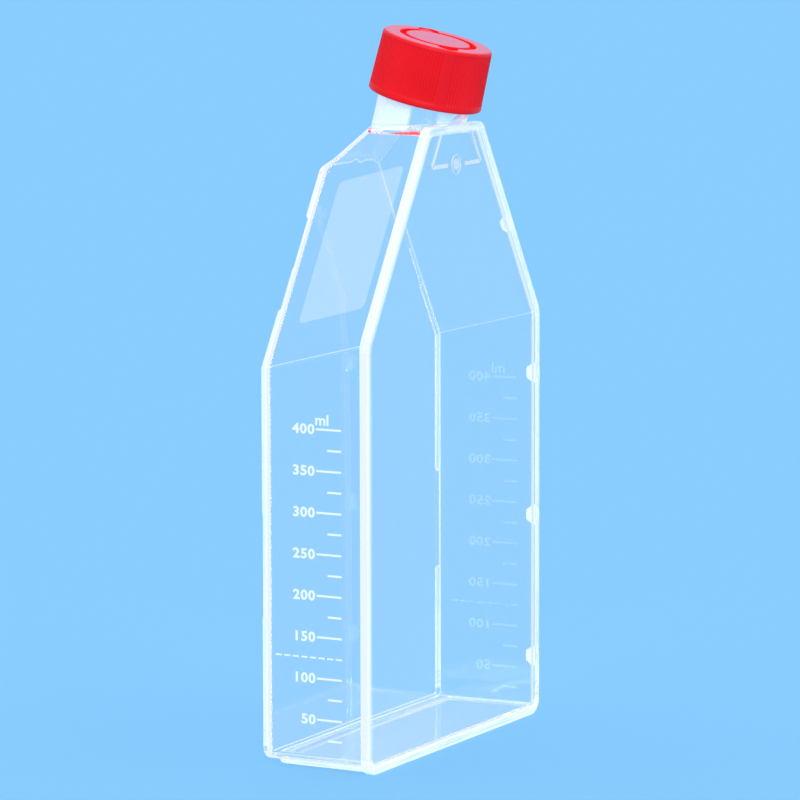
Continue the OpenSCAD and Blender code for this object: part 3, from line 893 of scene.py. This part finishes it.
def clear_plastic(looks, s):
    """Clear polystyrene: bends light as the real plastic does, and lets the lamps through.

    Its moulded edges get painted light, a faintly glowing white for the light that runs inside the walls,
    in streaks that run along each edge: along the height, bent in with the narrowing sides, and level at
    the base and at the plate's upper edge. Above them the neck's painted light is even, without streaks.
    """
    along, even, evened = 0.03, 0.57, 0.75
    most_mirrors, most_bounces = 3.5, 10.5
    f = new_finish("clear_polystyrene")
    glass = f.surface({"Base Color": (*looks.clear, 1), "Roughness": 0.0, "IOR": 1.59,
                       "Transmission Weight": 1.0})
    # Painted light: a faintly glowing white, mixed onto the glass by each face's share and the streaks.
    milk = f.surface({"Base Color": (*looks.edge, 1), "Roughness": 0.35,
                      "Emission Color": (*looks.edge, 1), "Emission Strength": 0.3})
    x, y, z = f.split(f.place())
    outward = x.either(-1 * x) + (z - s.straight_h).either(0.0) * math.tan(s.taper)
    level = (z < 12 * MM).either((z > s.body_h - 3 * MM) * (z < s.body_h + MM))
    streak = f.noise(1300, 2.0, 0.5, f.join(outward * (1 - level) + along * x * level,
                                            y - (1 - along) * y * level,
                                            z * (along + (1 - along) * level)))
    streak = streak + evened * (even - streak) * (z > s.body_h + MM)
    path = f.path()
    # Each face's share of painted light, streaked, and smaller where the plastic is seen mirrored.
    share = (f.face_value("glow") * (1.7 * streak - 0.1)).clamped()
    glass = f.mix(share * (1 - 0.65 * (path["Glossy Depth"] > 0.5)), glass, milk)
    spent = (path["Glossy Depth"] > most_mirrors).either(path["Ray Depth"] > most_bounces)
    return f.output(f.mix(path["Is Shadow Ray"].either(spent), glass, f.clear()))


def frosted_field(looks):
    """A fine matt etch: a thin milky layer, a little uneven."""
    f = new_finish("frosted_field")
    grain = f.noise(9000, 3.0)
    etch = f.surface({"Base Color": (*looks.etch, 1), "Roughness": 0.7,
                      "Normal": f.bump(grain, 0.2, 0.02 * MM)})
    return f.output(f.mix(0.11 + 0.03 * grain, f.clear(), etch))


def white_ink(looks):
    """Screen-printed ink, white in front and in the wall's shade behind; mirrored rays pass it."""
    f = new_finish("white_ink")
    grain = f.noise(5000, 2.0)
    shade = f.blend(f.face_value("behind"), (*looks.ink, 1), (*looks.ink_back, 1))
    ink = f.surface({"Base Color": shade, "Roughness": 0.5, "Normal": f.bump(grain, 0.3, 0.02 * MM)})
    return f.output(f.mix(f.path()["Glossy Depth"] > 0.5, ink, f.clear()))


def moulded_mark(looks):
    """The finely textured lines of the frame on the top plate."""
    f = new_finish("moulded_mark")
    grain = f.noise(6000, 2.0)
    mark = f.surface({"Base Color": (*looks.etch, 1), "Roughness": 0.4,
                      "Normal": f.bump(grain, 0.3, 0.03 * MM)})
    return f.output(f.mix((f.face_value("dense") * (0.8 + 0.4 * grain)).clamped(), f.clear(), mark))


def red_plastic(looks, axis):
    """Moulded red plastic with a fine satin grain and slight flow marks, polished across its top.

    It has a painted red glow, stronger across its top and much stronger where the clear plastic mirrors
    it.
    """
    f = new_finish("red_cap")
    grain = f.noise(3500, 3.0)
    flow = f.noise(90, 2.0)
    shade = f.node("ShaderNodeValToRGB", {"stops": [
        (0.3, [0.93 * k for k in looks.cap]), (0.7, list(looks.cap))]}, {"Fac": flow})["Color"]
    facing = f.node("ShaderNodeVectorMath", {"operation": "DOT_PRODUCT"}, {
        0: f.node("ShaderNodeNewGeometry")["Normal"], 1: axis})["Value"]
    top = (4 * facing - 2.6).clamped()
    # Painted light: the cap glows though it is no lamp, more across its top than on its sides, and much
    # more in the clear plastic's mirror images.
    painted_glow = f.blend(top, (*(0.1 * k for k in looks.cap), 1), (0.25, 0.002, 0.002, 1))
    painted_glow = f.blend(f.path()["Glossy Depth"] > 0.5, painted_glow, (0.75, 0.03, 0.04, 1))
    return f.output(f.surface({
        "Base Color": shade, "Roughness": 0.32 + 0.14 * grain, "IOR": 1.5, "Specular IOR Level": 0.15,
        "Emission Color": painted_glow, "Emission Strength": 1.0,
        "Coat Weight": top, "Coat Roughness": 0.22, "Coat IOR": 1.54,
        "Normal": f.bump(grain, 0.12, 0.03 * MM)}))


def filter_film(looks):
    """Matt white filter film with a faint fibre."""
    f = new_finish("filter_film")
    fibre = f.noise(2500, 5.0, 0.7)
    return f.output(f.surface({"Base Color": (*looks.film, 1), "Roughness": 0.85 + 0.1 * fibre,
                               "Normal": f.bump(fibre, 0.5, 0.05 * MM)}))


# ---------------------------------------------------------------- print


def lettering(text, height, heavier):
    """A word's outline as flat points and faces, its capitals as tall as height."""
    capital = 0.7  # as a share of the font's size
    curve = bpy.data.curves.new("lettering", "FONT")
    curve.body, curve.size, curve.offset = text, height / capital, heavier
    curve.resolution_u = 3
    obj = add_object("lettering", curve)
    mesh = bpy.data.meshes.new_from_object(obj)
    points = np.zeros(len(mesh.vertices) * 3, np.float32)
    mesh.vertices.foreach_get("co", points)
    faces = [list(p.vertices) for p in mesh.polygons]
    bpy.data.objects.remove(obj)
    bpy.data.meshes.remove(mesh)
    return points.reshape(-1, 3)[:, :2].astype(float), faces


class Sheet:
    """Collects flat shapes and how dense each is, then makes them one thin solid layer."""

    def __init__(self):
        self.points, self.faces, self.dense, self.count = [], [], [], 0

    def add(self, points, faces, dense=1.0):
        self.points.append(points)
        self.dense += [dense] * len(faces)
        self.faces += [[k + self.count for k in f] for f in faces]
        self.count += len(points)

    def bar(self, start, end, z, width, dense=1.0):
        """Adds a level bar between two ends."""
        corners = rectangle(min(start, end), max(start, end), z - width / 2, z + width / 2)
        self.add(corners, [[0, 1, 2, 3]], dense)

    def solid(self, name, place, thick):
        """The layer between place(points, 0) and place(points, thick), with its sides closed."""
        flat = np.vstack(self.points)
        verts = np.vstack([place(flat, 0.0), place(flat, thick)])
        edges = dict.fromkeys(edge for f in self.faces for edge in zip(f, f[1:] + f[:1]))
        n = len(flat)
        rim = [[a, b, b + n, a + n] for a, b in edges if (b, a) not in edges]
        faces = [f[::-1] for f in self.faces] + [[k + n for k in f] for f in self.faces] + rim
        return build_mesh(name, verts, faces,
                          behind=[1.0] * len(self.faces) + [0.0] * (len(self.faces) + len(rim)),
                          dense=self.dense * 2 + [0.5] * len(rim))


def graduations(s, p, side):
    """The scale on one narrow wall: numbered long marks, short marks between and a dashed line.

    The drawing's X runs to the reader's right, which is side times Y: side is -1 on the -X wall and
    1 on the +X wall.
    """
    sheet = Sheet()
    first, step, shift = (p.first_z, p.step_z, 0) if side < 0 else (
        p.far_first_z, p.far_step_z, p.far_shift)
    start = p.tick_start + shift
    bold, digit_gap = 0.14 * MM, 1.77 * MM
    dash_start, dash_step, dash, dash_w = 14 * MM, 2.99 * MM, 2.1 * MM, 0.8 * p.line_w
    unit_grow, unit_bold, unit_front, unit_up = 1.1, 0.1 * MM, 2.0 * MM, 1.3 * MM

    def bar(y_a, y_b, z, width):
        sheet.bar(side * (y_a + shift), side * (y_b + shift), z, width)

    def word(text, height, heavier, wider, y, low):
        points, faces = lettering(text, height, heavier)
        points[:, 0] *= wider
        middle = (points[:, 0].max() + points[:, 0].min()) / 2
        sheet.add(points + [side * y - middle, low], faces)

    for i in (0, 1, 2, 3, *range(5, 16)):  # every 25 ml from 25 to 400, but none at 125 ml
        z = first + (i - 1) * step / 2
        bar(p.tick_start if i % 2 else p.short_start, p.tick_end, z, p.line_w)
    wider = p.digit_w / np.ptp(lettering("0", p.digit_h, bold)[0][:, 0])
    for i in range(1, 9):
        for k, digit in enumerate(reversed(str(50 * i)) if side < 0 else str(50 * i)):
            word(digit, p.digit_h, bold, wider, start + digit_gap + k * p.digit_step,
                 first + (i - 1) * step - p.digit_h / 2)
    word("ml", unit_grow * p.digit_h, unit_bold, unit_grow, start - unit_front,
         first + 7 * step + unit_up)
    for k in range(8):
        y = dash_start - k * dash_step
        bar(y, y - dash, p.fill_z, dash_w)
    shape = TrayShape(s)

    def place_on_wall(flat, thick):
        y = side * flat[:, 0]
        wall_x = (shape.side.distance - shape.side.normal[1] * y) / shape.side.normal[0]
        return np.column_stack([side * (wall_x + HAIR / 2 + thick), y + MID_Y, flat[:, 1]])

    return sheet.solid("scale_left" if side < 0 else "scale_right", place_on_wall, HAIR)


def writing_field(s, p):
    """The frosted field on the -X narrowing side: a rectangle with arcs at its corners.

    Each point is raised by slope times y, which puts its edges in line with the side's lower corner.
    """
    shape = TrayShape(s)
    slope = (shape.kink - s.straight_h) / (shape.y_growth - shape.y_seat)
    r = p.field_r
    front, back = p.field_front + r, p.field_back - r
    low, high = p.field_low + r, p.field_high - r
    outline = np.vstack([bend(y, z, r, turn, turn + 90, 6) for y, z, turn in (
        (back, high, 0), (front, high, 90), (front, low, 180), (back, low, 270))])
    sheet = Sheet()
    sheet.add(outline, [list(range(len(outline)))])

    def place_on_side(flat, thick):
        y = flat[:, 0]
        z = flat[:, 1] + slope * y
        n, d = shape.taper.normal, shape.taper.distance
        x = (d - n[1] * y - n[2] * z) / n[0]
        points = np.column_stack([x, y, z]) + n * (HAIR / 2 + thick)
        return points * [-1, 1, 1] + [0, MID_Y, 0]

    return sheet.solid("writing_field", place_on_side, HAIR)


def panel_frame(s):
    """The moulded frame and gate mark on the top plate, bare inside."""
    sheet = Sheet()
    half_line = 0.6 * MM
    low_z = s.body_h - s.ramp_drop + 0.1 * MM
    high_z = s.body_h - s.shoulder_drop - 0.5 * MM
    top_half, low_half, opening = 9.56 * MM, 16.27 * MM, 5.8 * MM
    for side in (-1, 1):
        slant = np.array([low_half - top_half, low_z - high_z])
        across = np.array([-slant[1], slant[0]]) / np.hypot(*slant) * half_line
        ends = np.array([[top_half, high_z], [low_half, low_z]])
        line = np.array([ends[0] - across, ends[0] + across, ends[1] + across, ends[1] - across])
        sheet.add(line * [side, 1], [[0, 1, 2, 3]], 1.0 if side < 0 else 0.75)
        sheet.bar(side * opening, side * (low_half - half_line), low_z, 2 * half_line, 0.85)
    steps, gate_r, ring_out, ring_in = 32, 1.75 * MM, 3.1 * MM, 2.75 * MM
    turn = np.linspace(0, TURN, steps, endpoint=False)
    circle = np.column_stack([np.cos(turn), np.sin(turn)])
    middle = np.array([0, low_z])
    sheet.add(middle + gate_r * circle, [list(range(steps))], 0.6)
    ring = np.vstack([middle + ring_out * circle, middle + ring_in * circle])
    sheet.add(ring, grid_faces(2, steps), 0.35)
    y_plate = plate_levels(s)[1] + MID_Y

    def place_on_plate(flat, thick):
        return np.column_stack([flat[:, 0], np.full(len(flat), y_plate - HAIR / 2 - thick), flat[:, 1]])

    return sheet.solid("panel_frame", place_on_plate, 0.25 * MM)


# ---------------------------------------------------------------- operators


class FLASK_OT_tray(bpy.types.Operator):
    """Builds the clear growth tray with its neck"""

    bl_idname = "flask.tray"
    bl_label = "Growth tray"

    def execute(self, context):
        s = context.scene.flask_sizes
        tray = tray_outside(s)
        neck = neck_outside(s)
        combine(neck, relief_cutter(s), "DIFFERENCE")
        combine(tray, neck, "UNION")
        combine(tray, base_rim(s), "UNION")
        seat = plate_levels(s)[2] + HAIR + MID_Y
        far = 200 * MM
        front = prism(rectangle(-far, far, seat - far, seat), -far, s.body_h)
        combine(tray, skin("front_space", front), "DIFFERENCE")
        combine(tray, tray_inside(s), "DIFFERENCE")
        combine(tray, neck_bore(s), "DIFFERENCE")
        smooth(tray, 8)
        finish_piece(tray, clear_plastic(context.scene.flask_looks, s), "flask",
                     ["growth_tray"])
        return {"FINISHED"}


class FLASK_OT_plate(bpy.types.Operator):
    """Builds the clear top plate with its stacking rim, tabs and moulded frame"""

    bl_idname = "flask.plate"
    bl_label = "Top plate"

    def execute(self, context):
        s = context.scene.flask_sizes
        looks = context.scene.flask_looks
        plate = plate_solid(s)
        half = s.rim_w / 2
        for i in range(3):
            combine(plate, tab_solid(s, half, s.tab_low_z + i * s.tab_step, 0), "UNION")
        combine(plate, tab_solid(s, half - s.tab_rise * math.sin(s.taper),
                                 s.straight_h + s.tab_rise * math.cos(s.taper), s.taper), "UNION")
        smooth(plate, 8)
        finish_piece(plate, clear_plastic(looks, s), "flask", ["top_plate"])
        finish_piece(panel_frame(s), moulded_mark(looks), "flask")
        return {"FINISHED"}


class FLASK_OT_print(bpy.types.Operator):
    """Prints the scales on the narrow walls and frosts the writing field"""

    bl_idname = "flask.print"
    bl_label = "Print and writing field"

    def execute(self, context):
        s, p = context.scene.flask_sizes, context.scene.flask_print
        looks = context.scene.flask_looks
        ink = white_ink(looks)
        for side in (-1, 1):
            finish_piece(graduations(s, p, side), ink, "flask")
        finish_piece(writing_field(s, p), frosted_field(looks), "flask")
        return {"FINISHED"}


class FLASK_OT_cap(bpy.types.Operator):
    """Builds the ribbed cap and gives the vent membrane its film"""

    bl_idname = "flask.cap"
    bl_label = "Cap"

    def execute(self, context):
        s, c = context.scene.flask_sizes, context.scene.flask_cap
        looks = context.scene.flask_looks
        cap = cap_solid(s, c)
        for turn in (0, math.pi):
            combine(cap, notch_cutter(s, c, c.notch_turn + turn), "DIFFERENCE")
        step = TURN / c.slots
        for i in range(c.slots):
            combine(cap, slot_cutter(s, c, c.notch_turn + i * step, 0.76 * step), "DIFFERENCE")
        smooth(cap, 32)
        axis = tuple(rotation_x(s.neck_lean) @ [0, 0, 1])
        finish_piece(cap, red_plastic(looks, axis), "cap", ["cap_shell"])
        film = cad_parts["vent_membrane"]
        film.data.materials.clear()
        film.data.materials.append(filter_film(looks))
        return {"FINISHED"}


class FLASK_OT_stage(bpy.types.Operator):
    """Lays the floor and sets the world, the lamps and the camera"""

    bl_idname = "flask.stage"
    bl_label = "Stage"

    def execute(self, context):
        looks = context.scene.flask_looks
        radius, steps = 14.0, 64
        turn = np.linspace(0, TURN, steps, endpoint=False)
        disc = np.column_stack([radius * np.cos(turn), radius * np.sin(turn), np.zeros(steps)])
        floor = build_mesh("floor", disc, [list(range(steps))])
        floor.data.materials.append(self.floor_finish(looks))
        context.scene.world = self.studio(looks)
        lamp = bpy.data.lights.new("key", "SUN")
        lamp.energy, lamp.angle = 1.4, math.radians(40)
        aim = Vector((0.75, 0.45, -0.4))
        add_object("key", lamp).rotation_euler = aim.to_track_quat("-Z", "Y").to_euler()
        context.scene.camera = self.camera()
        context.scene.view_settings.view_transform = "Standard"
        return {"FINISHED"}

    @staticmethod
    def floor_finish(looks):
        """The floor keeps the object's shadow, and shows the clear plastic its own lit colours."""
        f = new_finish("floor")
        diffuse = f.node("ShaderNodeBsdfDiffuse", inputs={"Color": (*looks.backdrop, 1)})[0]
        sky, lit = f.light(looks.backdrop), f.light(looks.lit)
        once, often = bounced(f)
        plain = f.mix(0.6 + 0.3 * f.path()["Is Transmission Ray"], diffuse, sky)
        return f.output(f.mix(often, f.mix(once, plain, f.mix(0.2, sky, lit)), lit))

    @staticmethod
    def studio(looks):
        """A white studio that the camera, and the plastic seen straight through, meet as backdrop."""
        f = Finish(bpy.data.worlds.new("studio"))
        kind = "ShaderNodeBackground"
        path = f.path()
        seen = path["Is Camera Ray"].either(path["Is Transmission Ray"] * (path["Glossy Depth"] < 0.5))
        once, often = bounced(f)
        room = f.mix(once, f.light((1, 1, 1), 0.8, kind), f.light(looks.mirrored, 1.0, kind))
        room = f.mix(often, room, f.light(looks.lit, 1.0, kind))
        return f.output(f.mix(seen, room, f.light(looks.backdrop, 1.0, kind)), "ShaderNodeOutputWorld")

    @staticmethod
    def camera():
        """The camera looks slightly down across the narrow wall and the top plate."""
        distance, target = 1.451547, Vector((-0.000516, 0.000438 + MID_Y, 0.106229))
        azimuth, lift, roll = math.radians(-62.289), math.radians(7.207), math.radians(-0.112)
        data = bpy.data.cameras.new("camera")
        data.lens, data.sensor_width = 211.65, 36.0
        data.clip_start, data.clip_end = 0.05, 60.0
        cam = add_object("camera", data)
        ahead = Vector((-math.sin(azimuth) * math.cos(lift), math.cos(azimuth) * math.cos(lift),
                        -math.sin(lift)))
        cam.location = target - ahead * distance
        cam.rotation_mode = "QUATERNION"
        cam.rotation_quaternion = ahead.to_track_quat("-Z", "Y") @ Quaternion((0, 0, 1), roll)
        return cam


class FLASK_PT_panel(bpy.types.Panel):
    """Lists the flask's operators and sizes"""

    bl_label = "Flask"
    bl_idname = "FLASK_PT_panel"
    bl_space_type = "VIEW_3D"
    bl_region_type = "UI"
    bl_category = "Flask"

    def draw(self, context):
        for operator in OPERATORS:
            self.layout.operator(operator.bl_idname)
        for name in GROUPS:
            box = self.layout.box()
            group = getattr(context.scene, name)
            for prop in group.bl_rna.properties:
                if prop.identifier in group.__annotations__:
                    box.prop(group, prop.identifier)


OPERATORS = (FLASK_OT_stage, FLASK_OT_tray, FLASK_OT_plate, FLASK_OT_print, FLASK_OT_cap)
GROUPS = {"flask_sizes": FlaskSizes, "flask_cap": CapSizes, "flask_print": PrintSizes,
          "flask_looks": Looks}


def register():
    for group in GROUPS.values():
        bpy.utils.register_class(group)
    for operator in OPERATORS:
        bpy.utils.register_class(operator)
    bpy.utils.register_class(FLASK_PT_panel)
    for name, group in GROUPS.items():
        setattr(bpy.types.Scene, name, PointerProperty(type=group))


def unregister():
    for name in GROUPS:
        delattr(bpy.types.Scene, name)
    bpy.utils.unregister_class(FLASK_PT_panel)
    for item in (*OPERATORS, *GROUPS.values()):
        bpy.utils.unregister_class(item)


def main():
    register()
    for operator in OPERATORS:
        group, name = operator.bl_idname.split(".")
        getattr(getattr(bpy.ops, group), name)()


if __name__ == "__main__":
    main()
